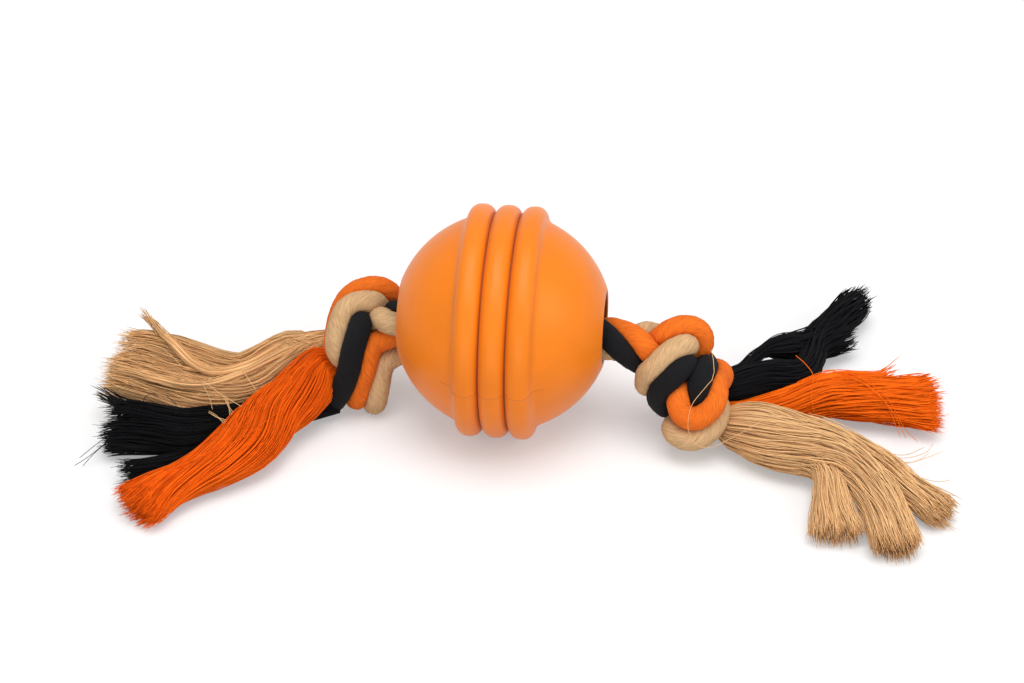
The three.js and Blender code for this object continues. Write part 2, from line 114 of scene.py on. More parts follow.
# Knots, settled from the routes below as the solids are.
KNOT_LEAN = 0.63
KNOT_TURN = 0.11
POINT_STEP = 2.6
SETTLE_ROUNDS = 160
SWELL_ROUNDS = 100
SWELL_START = 0.5
CONTACT_PASSES = 4
LAST_PASSES = 60
ROUTE_POINTS = 900
ROUTE_SMOOTHING = 8
TENSION = 0.14
HOME_PULL = 0.07
PUSH = 0.45
SELF_SKIP = 6
LEAST_BEND = 5

# The strands' routes through the knots, right, up and front of each knot's middle, and where they leave it.
ENDS = {
    "right": {
        "sign": 1,
        "middle": (64, -4, 24),
        "orange": {
            "knot": [
                (-18.2, 13.2, 5), (-14.6, 8.6, 6), (-11.5, 3.5, 1), (-6, 0.5, -4), (0, 2, -5),
                (3.8, 5.5, -4.5), (4.8, 9.8, -2), (5, 13.6, 1), (3.2, 16.8, 3.2), (-0.2, 18.2, 4),
                (-4, 17.6, 4.2), (-7.8, 15.4, 4.5), (-10.8, 11.6, 2.5), (-13.4, 6, -4), (-12, 1, -11),
                (-5, 1, -14.5), (3.6, 2, -15), (8, 0.4, -11), (9.4, -0.4, -5), (9.4, -0.8, 1.5),
                (9.2, -2.4, 7), (8.9, -5.4, 9.2), (7.6, -9.6, 9.5), (4.6, -13.6, 9), (0.8, -15.6, 8.5),
                (-3.2, -14.8, 8.5), (-4.9, -11.2, 8.8), (-3.4, -6.6, 9), (-1.4, -2.6, 7),
                (0.6, -4.5, 0), (6, -12.5, -8), (11, -13, -11),
            ],
            "root": (80, 1, 7),
            "towards": (89, 4, 6.5),
        },
        "black": {
            "knot": [
                (-21.5, 9.4, 5.5), (-16.5, 7, 2.5), (-10, 3, -2), (-3, 0, -4), (2, 1, -2),
                (2.4, 4.8, 3), (0.8, 6.2, 8), (-1.8, 4.4, 11.2), (-5.2, 1.4, 11.5), (-8.7, -2.2, 9.5),
                (-10.3, -5.2, 5), (-9.7, -7.6, -2.5), (-6.3, -8.4, -9), (-1.8, -4, -18), (1.8, 3, -19),
                (4.2, 4.6, -13), (5, 4.6, -6), (5, 4.6, 0.5), (4.6, 4.2, 6.5), (3.8, 1.6, 10.2),
                (3.3, -1.5, 11.3), (2.7, -5.8, 9), (2.2, -7.8, 3), (3.5, -5.5, -4), (8, -2, -10),
            ],
            "root": (77, 10, 13),
            "towards": (85, 16, 11),
        },
        "tan": {
            "knot": [
                (-22, 9, -2), (-17, 12, -1.5), (-12.5, 13.5, -3.5), (-6, 9, -9), (-0.5, 7, -9),
                (1.5, 8.4, -6), (1.8, 9.8, -1), (3.2, 11.4, 4.5), (2.2, 12.2, 8.4), (-2.6, 11, 9.4),
                (-7.3, 8.6, 9.4), (-11, 6, 7.4), (-12.9, 3.2, 2), (-12.4, 0.4, -5), (-8, -5, -10),
                (0, -7.5, -12.5), (7, -8, -11), (10.4, -9.4, -6.5), (11, -11, -1), (10.4, -13.2, 3.5),
                (8.9, -17, 5), (5, -20.4, 5), (0, -21.6, 4.5), (-5.7, -19.6, 4.5), (-8.8, -15.6, 3),
                (-7, -13.8, -3.5), (1, -16.5, -3.5), (7, -17, -3.5),
            ],
            "root": (78, -9, 9),
            "towards": (86, -13, 8.5),
        },
    },
    "left": {
        "sign": -1,
        "middle": (-50, 3, 25),
        "orange": {
            "knot": [
                (12.7, -0.3, 8.5), (8, 1.2, 7), (4.4, 0.6, 6.5), (2.7, -3, 7), (2.2, -7.8, 5.5),
                (0.8, -14.4, 1.5), (-0.8, -21, -3), (-2.5, -18.5, -9.5), (-2.5, -11, -14), (0, -3, -17),
                (4, 4, -17), (8.5, 9, -13), (11.4, 12.6, -8), (9.6, 15.2, -2.5), (5.8, 17.8, 0),
                (0.8, 18.8, 1), (-3.6, 16.8, 0.5), (-6.6, 12.2, -1), (-8.4, 6, -2.5), (-9.6, -1, -4),
            ],
            "root": (-60.5, -4, 17),
            "towards": (-68, -11, 14),
        },
        "black": {
            "knot": [
                (12, 12.2, 6), (10, 10, 0), (9, 3, -5), (4, -2, -3), (-2, -1, -1), (-3.2, 4, 0),
                (-0.5, 9.2, 2.5), (1.8, 10, 7), (1.3, 8, 11.5), (-0.2, 3.5, 13.5), (-2.4, -3.3, 11.5),
                (-3.9, -10, 8), (-5.2, -14.8, 4.5), (-8, -18.2, 1),
            ],
            "root": (-60, -9.5, 5.5),
            "towards": (-69, -16, 4.2),
        },
        "tan": {
            "knot": [
                (12, 3.6, 12.5), (8.9, 7.2, 12), (6.9, 9, 9), (6.2, 9.6, 2.5), (3.4, 8.6, -3),
                (1.5, 3, -7), (2, -5, -9), (3, -12, -11.5), (3.2, -19, -12), (3.8, -24, -7),
                (4.5, -21, -2), (5.2, -13, 1), (8, -5.6, 3), (11.5, -4.6, 3), (14.8, -4, 0),
                (15.5, 0, -6), (12, 3, -11), (6, 0, -12), (0, -5, -9), (-3, -9, -3), (-6.3, -7.8, 3),
                (-8.6, -2.6, 7), (-8, 2.8, 8.5), (-6.1, 7.6, 8), (-2.6, 11.6, 7.5), (1.6, 13.6, 7),
                (5.2, 13.8, 5.5), (8.4, 12.8, 1), (9.2, 9, -4), (4, 6, -10), (-4, 5, -11.5),
                (-10, 3, -11),
            ],
            "root": (-64, 9, 20),
            "towards": (-73, 8, 17.5),
        },
    },
}

# Tassels. A lock is how many yarns it has, how far they wave, how far the lock twists in radians, and
# where its middle runs: x, y, z, half width and half height. A loose yarn is a line of its own.
YARN_RADIUS = 0.17
LOOSE_RADIUS = 0.13
YARN_POINTS = 25
TIP_POINT_STEP = 3
YARN_SIDES = 3
CORE_SHARE = 0.68
TIP_SHARE = 0.38
TIP_START = 0.76
TIP_ROUNDING = 0.035
CORE_SIDES = 20
CORE_RINGS = 60
CORE_START = 0.01
CORE_END = 0.93
CORE_TAPER = 0.25
LEAST_CORE = 0.02
LOCK_RINGS = 160
LOCK_OVERLAP = 3
LOCK_ROOT_RADIUS = 3.7
YARNS_IN_CLUMP = 9
TIP_SPREAD = (0, 0.75)
SKIN_SPREAD = (0.46, 1)
CLUMP_SPREAD = (0.55, 1)
LOCK_END = 1.01
END_SCATTER = 0.011
CLUMP_END_SCATTER = 0.007
END_LIMITS = (0.93, 1.05)
DRAW_START = 0.05
DRAW_LENGTH = 0.5
RELEASE_END = 1.05
RELEASE_LENGTH = 0.2
DRAW_TURN = 0.3
DRAW_DEPTH = 0.35
PHASE_SCATTER = 0.35
SIDE_WAVE_LENGTH = 24
LIFT_WAVE_LENGTH = 29
SIDE_DRIFT = 0.4
LIFT_DRIFT = 0.28
FRAY = 0.7
FRAY_START = 0.86
TIP_TAPER = 0.25
YARN_FLOOR_GAP = 0.1
CORE_FLOOR_GAP = 0.3
TASSELS = {
    "right_orange": {
        "locks": [
            (760, 0.35, -1.4, [
                (86, 2.6, 6.2, 4, 4.2), (91, 3.8, 6.6, 4.8, 4.6), (97, 5.2, 7.2, 5.8, 5.2),
                (104, 8, 8.2, 7.8, 6), (112, 10.8, 9, 9.6, 6.6), (122, 11.2, 9, 10, 6.6),
                (131, 12, 8.2, 11, 6.2), (140, 12.8, 7.4, 13, 5.8), (150, 14, 6.6, 16, 5.2),
            ]),
            (16, 0.3, 0.4, [
                (90, 5, 9, 3, 3), (101, 10, 12, 3, 2), (114, 16, 14, 2.5, 2), (124, 20, 12.5, 2, 1.6),
                (131, 22.5, 11, 2, 1.5), (135.5, 27.5, 10.5, 2.6, 1.7),
            ]),
        ],
        "loose": [
            [(100.5, 21, 18.2), (104, 16.6, 18), (107, 12.5, 16), (106.6, 4, 14.4), (108, -1, 10)],
            [(110, 17, 15.6), (118, 15, 16), (127, 8, 15.5), (133, 3, 12), (138, -3.5, 4)],
            [(112, 18, 15), (122, 14, 16), (132, 6, 14.5), (139, -1.5, 7), (144, -4, 3)],
            [(114, 14, 16), (125, 10, 16), (134, 2, 12), (140, -4, 4)],
        ],
    },
    "right_black": {
        "locks": [
            (460, 0.4, 0.8, [
                (78.2, 6.8, 12.6, 5.6, 5.4), (83.6, 10.5, 12.4, 6.4, 6), (90.4, 15, 12, 6.4, 5.8),
                (97.4, 17.4, 11.4, 6.8, 5.8), (102.6, 19.6, 10.8, 5.8, 5.6),
                (105.6, 28.4, 10, 5.2, 5.4), (106.8, 38.3, 9.4, 5, 5.4), (109.8, 47.1, 9, 5.6, 5.6),
                (114.7, 56.2, 8.6, 6.2, 5.8), (119.7, 66, 8.2, 6, 5.6), (122.8, 72, 7.8, 5.8, 5.2),
            ]),
            (200, 0.45, 0.6, [
                (81.6, 15.1, 13.6, 3, 3), (85.5, 22.3, 14, 2, 2), (89.5, 28, 14, 2.2, 2),
                (93.3, 30.8, 13.4, 4.2, 3.6), (97.1, 33.4, 12.4, 5.8, 4.8), (101, 36.4, 11.2, 6, 5),
                (104.9, 40.3, 10, 5.4, 5), (108.5, 44.5, 9, 5, 4.8),
            ]),
            (200, 0.4, 0.5, [
                (80, 9.4, 12.4, 3, 3), (90.5, 14.4, 11.8, 3.6, 3.6), (102.6, 20.2, 10.6, 3.6, 4),
                (106.5, 32.9, 9.4, 3.6, 4), (110.7, 40.5, 8.6, 4.2, 4.4), (115.6, 45.5, 8, 5, 4.6),
                (118.8, 49.4, 7.6, 5.6, 4.6),
            ]),
        ],
        "loose": [
            [(84, 19, 15.5), (88.5, 27.5, 15.8), (93.5, 33, 15.6), (99, 38, 14)],
            [(85, 18, 15.8), (90, 25.5, 16), (95, 31, 15.5), (100, 36, 14)],
        ],
    },
    "right_tan": {
        "locks": [
            (640, 0.35, -1.5, [
                (81.3, -11.2, 8.8, 7.5, 6.6), (87.2, -14.4, 9.6, 9, 7.8), (94.1, -18, 10, 10, 8.8),
                (101.9, -20.4, 10, 9.8, 8.8), (110.5, -22.4, 9.7, 9.2, 8.4),
                (119.3, -26.5, 9, 8.6, 7.8), (126.8, -35.4, 8.2, 8, 7), (131.9, -46.2, 7.2, 8.2, 6.2),
                (135, -56.4, 6.2, 8.4, 5.6), (136.6, -64.6, 5.4, 9, 5),
            ]),
            (460, 0.35, -0.6, [
                (81.3, -11.9, 8, 5, 5), (90.1, -19.1, 8.4, 6.6, 6), (98.7, -23.4, 8.6, 6.4, 6),
                (106.6, -25.5, 8.4, 5.6, 5.4), (111.7, -28.8, 8, 5, 5), (114.2, -34.7, 7.4, 5.4, 4.8),
                (115, -42.1, 6.6, 6.6, 4.5), (115.9, -49.9, 5.8, 8.2, 4.2), (116.8, -55.4, 5, 9.4, 4),
                (117.4, -59.6, 4.5, 10.2, 3.7),
            ]),
            (460, 0.35, 0.9, [
                (81.1, -7.6, 9, 6.4, 6), (86.9, -7.7, 9.8, 7.4, 6.6), (93.8, -9.9, 10.6, 7.6, 7),
                (103.4, -14.1, 10.8, 7.6, 7), (112.3, -17.6, 10.4, 7.4, 6.8), (121.2, -21, 9.6, 7, 6.4),
                (130.8, -26.9, 8.2, 6.4, 5.8), (140.9, -36.1, 7, 6.2, 5.2), (148.2, -41.4, 6, 6.4, 5),
                (152.5, -45.4, 5.4, 6.8, 4.8),
            ]),
        ],
        "loose": [
            [
                (106, -9, 16), (116, -10, 14), (126, -13, 9), (133.5, -15, 6), (140, -13.5, 4.5),
                (146.5, -6.5, 3),
            ],
            [
                (110, -10, 16), (122, -14, 13.5), (133, -19.5, 9), (140, -19, 5.5), (146.5, -14, 4),
                (153, -8, 3),
            ],
            [
                (118, -14, 14.5), (130, -21, 12), (139.5, -27.5, 9), (146, -28, 6), (151.5, -27, 4.5),
                (155, -23.5, 3),
            ],
            [(122, -16, 14), (135, -25, 11), (144, -32, 8), (150.5, -35, 6), (155.5, -34.5, 4)],
            [(112, -10.5, 15), (126, -15.5, 10), (137, -18, 6.5), (146, -12, 4.5), (149.5, -4, 3)],
            [(114, -11, 15), (127, -16.5, 9.5), (137, -20, 6), (144, -16, 4.5), (148, -10, 3.5)],
        ],
    },
    "left_orange": {
        "locks": [
            (880, 0.25, -2.6, [
                (-63, -5, 16.6, 6.4, 6.4), (-65.2, -7.8, 14.7, 9.4, 7.6), (-70.2, -14.2, 12.3, 10.8, 8),
                (-77.6, -24, 10.6, 11.4, 7.8), (-84.4, -38.4, 9, 12.4, 7.4),
                (-92.6, -48.5, 8, 10.4, 6.6), (-98.6, -54.2, 7.2, 8.6, 6), (-104, -59.4, 6.6, 8.4, 5.6),
                (-109.8, -64.6, 6, 10, 5.2), (-115.6, -71, 5.4, 12, 4.6),
            ]),
            (150, 0.25, -0.9, [
                (-61.5, 0.6, 19.6, 4, 3.8), (-65.4, -1, 18.6, 5.4, 4.6), (-70, -7.4, 16.4, 6, 5),
                (-76.5, -18.5, 14.2, 6, 4.6), (-83.4, -32.5, 12.4, 6.4, 4.2), (-91, -44.5, 10.6, 6, 4),
                (-98.5, -52.5, 9.4, 5, 3.6), (-106.5, -60, 8.2, 5.4, 3.4), (-114, -67.5, 7, 6.4, 3.2),
            ]),
        ],
        "loose": [
            [(-74, -30, 17), (-84, -44, 16), (-95, -52, 14.5), (-106, -59, 12), (-114, -62, 8)],
        ],
    },
    "left_black": {
        "locks": [
            (260, 0.4, 0.8, [
                (-68.5, -14, 5.4, 3.8, 3.4), (-81, -19.4, 5.2, 5.2, 4.2), (-89.4, -21, 7, 6, 5),
                (-98.9, -26.4, 8.2, 6.4, 5.8), (-106.5, -30, 9, 6.8, 6.2), (-115.4, -29.4, 9.2, 7, 6.4),
                (-124.7, -27.6, 8.8, 7, 6.2), (-132, -28.4, 8, 6.6, 5.6),
            ]),
            (300, 0.4, 0.8, [
                (-68.5, -14, 5.4, 3.8, 3.4), (-81, -21, 5.2, 5.4, 4.2), (-89, -24.2, 6.4, 6, 5),
                (-97.4, -31.4, 7.2, 6.6, 5.8), (-105, -36.2, 7.6, 6.6, 6), (-114, -35.8, 7.6, 6.6, 6),
                (-124.2, -35.8, 7.2, 6.6, 5.8), (-133, -37, 6.4, 6.6, 5.2),
            ]),
            (190, 0.4, 0.8, [
                (-68.5, -14, 5.4, 3.4, 3.2), (-82, -24, 4.6, 4.6, 3.8), (-92.5, -32.6, 4.8, 4.8, 4.2),
                (-100, -40, 4.8, 4.8, 4.3), (-107, -46.4, 4.8, 4.8, 4.3), (-115, -50.2, 4.8, 5, 4.3),
                (-123, -52.4, 4.5, 5.4, 4),
            ]),
            (30, 0.4, 0.5, [
                (-68.5, -14, 5.4, 3, 3), (-84, -20, 6, 3, 2.5), (-100, -28, 11, 3, 2.2),
                (-115, -28.5, 12.6, 3, 2.2), (-124, -25.6, 12, 2.8, 2), (-131, -21.6, 10.6, 2.8, 2),
                (-140.5, -13.4, 8, 3.4, 2),
            ]),
        ],
        "loose": [
            [
                (-122.2, -32, 14), (-121.5, -28.7, 15), (-121.5, -23.3, 14.6), (-119.8, -20.1, 14.2),
                (-117.3, -20.6, 13.2),
            ],
            [(-106.7, -32.5, 14), (-108.7, -29.7, 15), (-110.9, -24.8, 14.4), (-115.1, -19.6, 13.4)],
            [(-126, -35, 12.5), (-135, -41, 7), (-141, -44, 2.5)],
            [(-126, -37, 12), (-136, -43, 4.5), (-142, -47, 1.5)],
            [(-124, -36, 12), (-134, -42.5, 6), (-139, -47.5, 2)],
        ],
    },
    "left_tan": {
        "locks": [
            (300, 0.5, 0.7, [
                (-66.6, 6.3, 17.6, 3.8, 3.8), (-70.8, 7.9, 18, 5, 4.6), (-75.6, 8.5, 17.6, 5.6, 5),
                (-80.7, 6.8, 15.6, 6.2, 5.4), (-86.3, 3.5, 13.2, 6.8, 5.8), (-91.6, 0, 11.6, 7.4, 6),
                (-97.5, 0, 11, 7.8, 6), (-107, 2.4, 11, 8.4, 6.2), (-117.6, 7.3, 10.5, 8.8, 6.2),
                (-127.4, 10.8, 9.8, 9, 5.8), (-137, 12, 8.8, 9, 5.2),
            ]),
            (300, 0.6, 0.8, [
                (-70, 7.4, 18, 4.8, 4.6), (-76, 4, 15, 6, 5.2), (-82.2, -0.4, 12.2, 7, 5.6),
                (-88.4, -5.8, 10.2, 7.4, 5.8), (-96, -7.8, 9.4, 7.6, 6), (-105.5, -7, 9, 7.8, 6),
                (-116.9, -4.4, 9, 8, 6), (-128.5, -0.8, 8.4, 8, 5.6), (-138.5, 0.8, 7.4, 7.6, 5),
            ]),
            (200, 0.6, 0.8, [
                (-70, 6.4, 16, 4.4, 4.2), (-77.3, 2.4, 11.2, 5, 4.6), (-84.7, -2.8, 8.2, 5.6, 5),
                (-91.2, -9.8, 6.6, 5.8, 4.8), (-99.6, -12.6, 6, 5.8, 4.8), (-110.1, -12, 6, 5.6, 4.8),
                (-121.7, -8.4, 6, 5.4, 4.6), (-133.1, -5.4, 5.8, 5.2, 4.4), (-139.6, -4, 5, 5.2, 4),
            ]),
            (34, 0.2, 0.6, [
                (-71, 8.5, 20.5, 2.8, 2.4), (-80, 4.6, 18.6, 2.4, 2), (-87, -1.6, 17, 2.2, 1.8),
                (-94, -6.2, 16.2, 2.2, 1.6), (-101.5, -7.4, 15.8, 2.1, 1.5),
                (-109.5, -3.4, 16.6, 2, 1.4), (-117, 4.2, 18, 1.8, 1.3), (-123.5, 13, 16, 1.5, 1.2),
                (-128.5, 22, 13.4, 1.3, 1.1), (-133, 29.5, 11.6, 1.2, 1),
            ]),
            (34, 0.2, 0.6, [
                (-71, 7.6, 20, 2.8, 2.4), (-81, 1, 17.6, 2.4, 2), (-91, -7, 15.6, 2.2, 1.8),
                (-101, -11.4, 13.6, 2.2, 1.6), (-111, -12.2, 13, 2.1, 1.5), (-121, -9.6, 13, 2, 1.4),
                (-130, -6, 12.4, 1.9, 1.4), (-139, -3, 10.6, 1.8, 1.3),
            ]),
        ],
        "loose": [
            [(-103.7, -13.7, 16), (-99.7, -20.5, 15), (-96.8, -28.6, 15.5)],
            [(-103.3, -13.6, 16), (-99.8, -16, 15.6), (-95.7, -19.6, 15.4), (-86.8, -26.7, 16)],
            [(-92.1, -2.7, 17.4), (-89.1, -9.1, 17), (-83.6, -17.9, 17)],
            [(-94.3, -21.2, 15), (-92.5, -24.9, 15.6), (-89.5, -31.4, 16)],
            [(-93.9, -21.1, 15), (-91.9, -25.1, 15.8), (-90.2, -31.6, 16)],
            [(-93.5, -21.7, 15), (-91.6, -26.2, 15.6), (-89.1, -30.7, 16.4)],
            [(-98.7, -27.6, 13.5), (-95.7, -31.8, 15.4), (-90.7, -35.8, 16)],
            [(-98.5, -27, 13.5), (-95.1, -31.4, 15.4), (-91.3, -36.5, 16)],
            [(-98, -27.5, 13.5), (-94.5, -32.7, 15.6), (-90.5, -34.6, 16)],
            [(-112, -6, 16), (-121, 2, 17.5), (-130, 4, 16.5), (-139, 1, 12.5)],
        ],
    },
}

# One yarn has come loose from the right knot and lies over its front, given as the knots' routes are.
STRAY_YARN = [
    (7.6, 9.5, 5), (7.9, 7, 12), (7.9, 0.8, 15.8), (5.4, -2.6, 16.8), (2.6, -5.9, 16.8), (0.4, -9, 16.2),
    (-0.5, -12.4, 15.6), (-0.8, -16.2, 14.8), (0, -19.4, 13.6), (1.5, -21.8, 12.4), (4.2, -23.4, 11.6),
    (7.9, -23.4, 11.6), (12.1, -21.2, 12.6), (18.3, -17.9, 13.8), (24.5, -14.2, 14),
]

# How far the ball comes up to each knot as the rope slides and bends.
BALL_ROOM = {"right": 3.2, "left": 1.1}
RIM_ROOM = 0.35

# Ends and fuzz of the strands.
END_TAPER = 0.28
END_TAPER_LENGTH = 7
FUZZ_COUNT = 2400
FUZZ_RADIUS = 0.04
FUZZ_LENGTH = 1.3
FUZZ_DEPTH = 0.15
FUZZ_CURL = 0.35
FUZZ_SIDES = 3
FUZZ_POINTS = 3
FUZZ_STAND = (0.1, 0.9)
FUZZ_LEAN = 0.8
FUZZ_LENGTHS = (0.4, 1)

# Surfaces: colours as they are seen, in sRGB, how dark and pale they go, and how rough they are.
RUBBER_COLOUR = (228, 120, 5)
RUBBER_SHADES = (0.975, 1.02)
RUBBER_ROUGHNESS = 0.42
CLOUD_SCALE = 55
GRAIN_SCALE = 900
# Painted shade: the rubber is darkened towards this dark brown with depth below the ball's surface, inside
# the hole and cavity, and less in the grooves between the ribs.
HOLLOW_SHADE_COLOUR = (96, 40, 8)
HOLLOW_SHADE_START = 0.15
HOLLOW_SHADE_FADE = 0.7
GROOVE_SHADE_SHARE = 0.65
# Painted shade along the parting line's small step.
PARTING_SHADE = 0.3
STRAND_COLOURS = {"orange": (255, 116, 28), "black": (10, 10, 14), "tan": (216, 175, 128)}
STRAND_SHADES = (0.76, 1.08)
STRAND_ROUGHNESS = 0.9
YARN_COLOURS = {"orange": (255, 106, 4), "black": (8, 8, 12), "tan": (232, 186, 132)}
YARN_SHADES = (0.9, 1.07)
YARN_ROUGHNESS = 0.75

# Stage. A lamp is its place, its size and its power in watts, and it faces LAMP_TARGET.
FLOOR_COLOUR = (206, 206, 206)
FLOOR_ROUGHNESS = 0.9
FLOOR_GLOW = 0.3
FLOOR_REACH = 430
FLOOR_DROP = 0.2
WORLD_LIGHT = 0.57
LAMP_TARGET = (0, 0, 30)
LAMPS = {
    "overhead": ((80, -230, 1300), 950, 11.8),
    "front_left": ((-900, -900, 900), 700, 1.2),
    "right": ((1000, -400, 700), 700, 3.4),
    "front_low": ((100, -1200, 180), 700, 3.2),
}


def linear(colour):
    """An sRGB colour of 0 to 255 as Blender's linear one, with alpha."""
    share = np.array(colour) / 255
    light = np.where(share <= 0.04045, share / 12.92, ((share + 0.055) / 1.055) ** 2.4)
    return (*[float(x) for x in light], 1.0)


# Camera.
def make_camera():
    azimuth, elevation = CAMERA_AZIMUTH, CAMERA_ELEVATION
    right = np.array([math.cos(azimuth), math.sin(azimuth), 0])
    level, rise = math.cos(elevation), math.sin(elevation)
    toward = np.array([math.sin(azimuth) * level, -math.cos(azimuth) * level, rise])
    up = np.cross(toward, right)
    place = np.array(CAMERA_TARGET) + toward * CAMERA_DISTANCE + right * CAMERA_RIGHT - up * CAMERA_DOWN
    data = bpy.data.cameras.new("camera")
    data.lens = LENS
    data.sensor_width = SENSOR_WIDTH
    camera = bpy.data.objects.new("camera", data)
    matrix = np.eye(4)
    matrix[:3, 0], matrix[:3, 1], matrix[:3, 2], matrix[:3, 3] = right, up, toward, place * MM
    camera.matrix_world = Matrix(matrix.tolist())
    bpy.context.scene.collection.objects.link(camera)
    bpy.context.scene.camera = camera


make_camera()


# Lines and meshes.
def unit(vectors):
    return vectors / np.maximum(np.linalg.norm(vectors, axis=-1, keepdims=True), 1e-9)


def spaced(points, step):
    """The same line with points step apart."""
    points = np.asarray(points, float)
    along = np.concatenate([[0], np.cumsum(np.linalg.norm(np.diff(points, axis=0), axis=1))])
    places = np.linspace(0, along[-1], max(2, round(along[-1] / step) + 1))
    return np.stack([np.interp(places, along, points[:, k]) for k in range(points.shape[1])], axis=1)


def through(points, count):
    """A smooth curve of count points through the given ones."""
    points = np.asarray(points, float)
    padded = np.vstack([2 * points[0] - points[1], points, 2 * points[-1] - points[-2]])
    place = np.linspace(0, len(points) - 1, count)
    i = np.minimum(place.astype(int), len(points) - 2)
    t = (place - i)[:, None]
    a, b, c, d = padded[i], padded[i + 1], padded[i + 2], padded[i + 3]
    return 0.5 * (2 * b + (c - a) * t + (2 * a - 5 * b + 4 * c - d) * t**2 + (3 * b - a - 3 * c + d) * t**3)


def smoothed(points, rounds):
    points = points.copy()
    for _ in range(rounds):
        points[1:-1] = (points[:-2] + 2 * points[1:-1] + points[2:]) / 4
    return points


def frames(lines):
    """Two sides of each line, turning as little as possible. lines is (lines, points, 3)."""
    tangents = unit(np.gradient(lines, axis=1))
    sides = np.empty_like(lines)
    start = np.where(np.abs(tangents[:, 0, 2:]) < 0.8, [[0.0, 0.0, 1.0]], [[1.0, 0.0, 0.0]])
    side = unit(np.cross(tangents[:, 0], start))
    for i in range(lines.shape[1]):
        side = side - tangents[:, i] * np.sum(side * tangents[:, i], axis=1, keepdims=True)
        side = unit(side)
        sides[:, i] = side
    return sides, np.cross(tangents, sides)


def make_mesh(name, vertices, quads, material):
    """An object from vertices in millimetres and an array of quads."""
    mesh = bpy.data.meshes.new(name)
    mesh.vertices.add(len(vertices))
    mesh.vertices.foreach_set("co", (np.asarray(vertices) * MM).astype(np.float32).ravel())
    mesh.loops.add(quads.size)
    mesh.loops.foreach_set("vertex_index", quads.astype(np.int32).ravel())
    mesh.polygons.add(len(quads))
    mesh.polygons.foreach_set("loop_start", np.arange(0, quads.size, 4, dtype=np.int32))
    mesh.polygons.foreach_set("use_smooth", np.full(len(quads), True))
    mesh.update(calc_edges=True)
    mesh.validate()
    mesh.materials.append(material)
    made = bpy.data.objects.new(name, mesh)
    bpy.context.scene.collection.objects.link(made)
    return made


def tube_quads(lines, points, sides):
    """Quads of tubes whose vertices are ordered by line, point and side."""
    line, point, side = np.meshgrid(np.arange(lines), np.arange(points - 1), np.arange(sides), indexing="ij")
    base = line * points * sides
    here, there = base + point * sides, base + (point + 1) * sides
    after = (side + 1) % sides
    return np.stack([here + side, here + after, there + after, there + side], axis=-1).reshape(-1, 4)


def tubes(lines, radius, sides):
    """Vertices and quads of thin tubes that taper at their tips. lines is (lines, points, 3)."""
    count, points = lines.shape[:2]
    across, over = frames(lines)
    taper = np.ones(points)
    taper[-1] = TIP_TAPER
    angles = 2 * np.pi * np.arange(sides) / sides
    ring = across[:, :, None] * np.cos(angles)[:, None] + over[:, :, None] * np.sin(angles)[:, None]
    vertices = lines[:, :, None] + ring * (radius * taper)[:, None, None]
    return vertices.reshape(-1, 3), tube_quads(count, points, sides)


def new_material(name, colour, roughness):
    material = bpy.data.materials.new(name)
    material.use_nodes = True
    nodes = material.node_tree.nodes
    shader = nodes["Principled BSDF"]
    shader.inputs["Base Color"].default_value = linear(colour)
    shader.inputs["Roughness"].default_value = roughness
    return material, nodes, material.node_tree.links, shader


def noise_of(nodes, links, vector, scale, detail=3.0):
    noise = nodes.new("ShaderNodeTexNoise")
    noise.inputs["Scale"].default_value = scale
    noise.inputs["Detail"].default_value = detail
    links.new(vector, noise.inputs["Vector"])
    return noise.outputs["Fac"]


def shade_between(nodes, links, factor, colour, shades, low=0.3, high=0.7):
    """A colour that runs from its dark shade to its pale one as factor goes from low to high."""
    ramp = nodes.new("ShaderNodeValToRGB")
    for element, place, share in zip(ramp.color_ramp.elements, (low, high), shades):
        element.position = place
        element.color = linear([min(255, c * share) for c in colour])
    links.new(factor, ramp.inputs["Fac"])
    return ramp.outputs["Color"]


def rubber_material():
    material, nodes, links, shader = new_material("orange_rubber", RUBBER_COLOUR, RUBBER_ROUGHNESS)
    place = nodes.new("ShaderNodeTexCoord").outputs["Object"]
    cloud = noise_of(nodes, links, place, CLOUD_SCALE)
    # Painted shade: the inside attribute darkens the rubber towards a dark brown in the hole and cavity, in
    # the grooves and along the parting line.
    inside = nodes.new("ShaderNodeAttribute")
    inside.attribute_name = "inside"
    shade = nodes.new("ShaderNodeMix")
    shade.data_type = "RGBA"
    shade.inputs["B"].default_value = linear(HOLLOW_SHADE_COLOUR)
    links.new(inside.outputs["Fac"], shade.inputs["Factor"])
    skin = shade_between(nodes, links, cloud, RUBBER_COLOUR, RUBBER_SHADES)
    links.new(skin, shade.inputs["A"])
    links.new(shade.outputs["Result"], shader.inputs["Base Color"])
    bump = nodes.new("ShaderNodeBump")
    bump.inputs["Strength"].default_value = 0.12
    bump.inputs["Distance"].default_value = 0.2 * MM
    links.new(noise_of(nodes, links, place, GRAIN_SCALE), bump.inputs["Height"])
    links.new(bump.outputs["Normal"], shader.inputs["Normal"])
    shader.inputs["Specular IOR Level"].default_value = 0.28
    shader.inputs["Sheen Weight"].default_value = 0.12
    shader.inputs["Sheen Roughness"].default_value = 0.35
    return material


def strand_material(name):
    """Felted cotton: fibres run along the strand's own yarns, which the mesh's yarn attribute follows."""
    colour = STRAND_COLOURS[name]
    material, nodes, links, shader = new_material(f"{name}_yarn_strand", colour, STRAND_ROUGHNESS)
    yarn = nodes.new("ShaderNodeAttribute")
    yarn.attribute_name = "yarn"
    fibre = noise_of(nodes, links, yarn.outputs["Vector"], 1.0, 5.0)
    shade = shade_between(nodes, links, fibre, colour, STRAND_SHADES)
    links.new(shade, shader.inputs["Base Color"])
    bump = nodes.new("ShaderNodeBump")
    bump.inputs["Strength"].default_value = 1.0
    bump.inputs["Distance"].default_value = 0.25 * MM
    links.new(fibre, bump.inputs["Height"])
    links.new(bump.outputs["Normal"], shader.inputs["Normal"])
    shader.inputs["Specular IOR Level"].default_value = 0.25
    return material


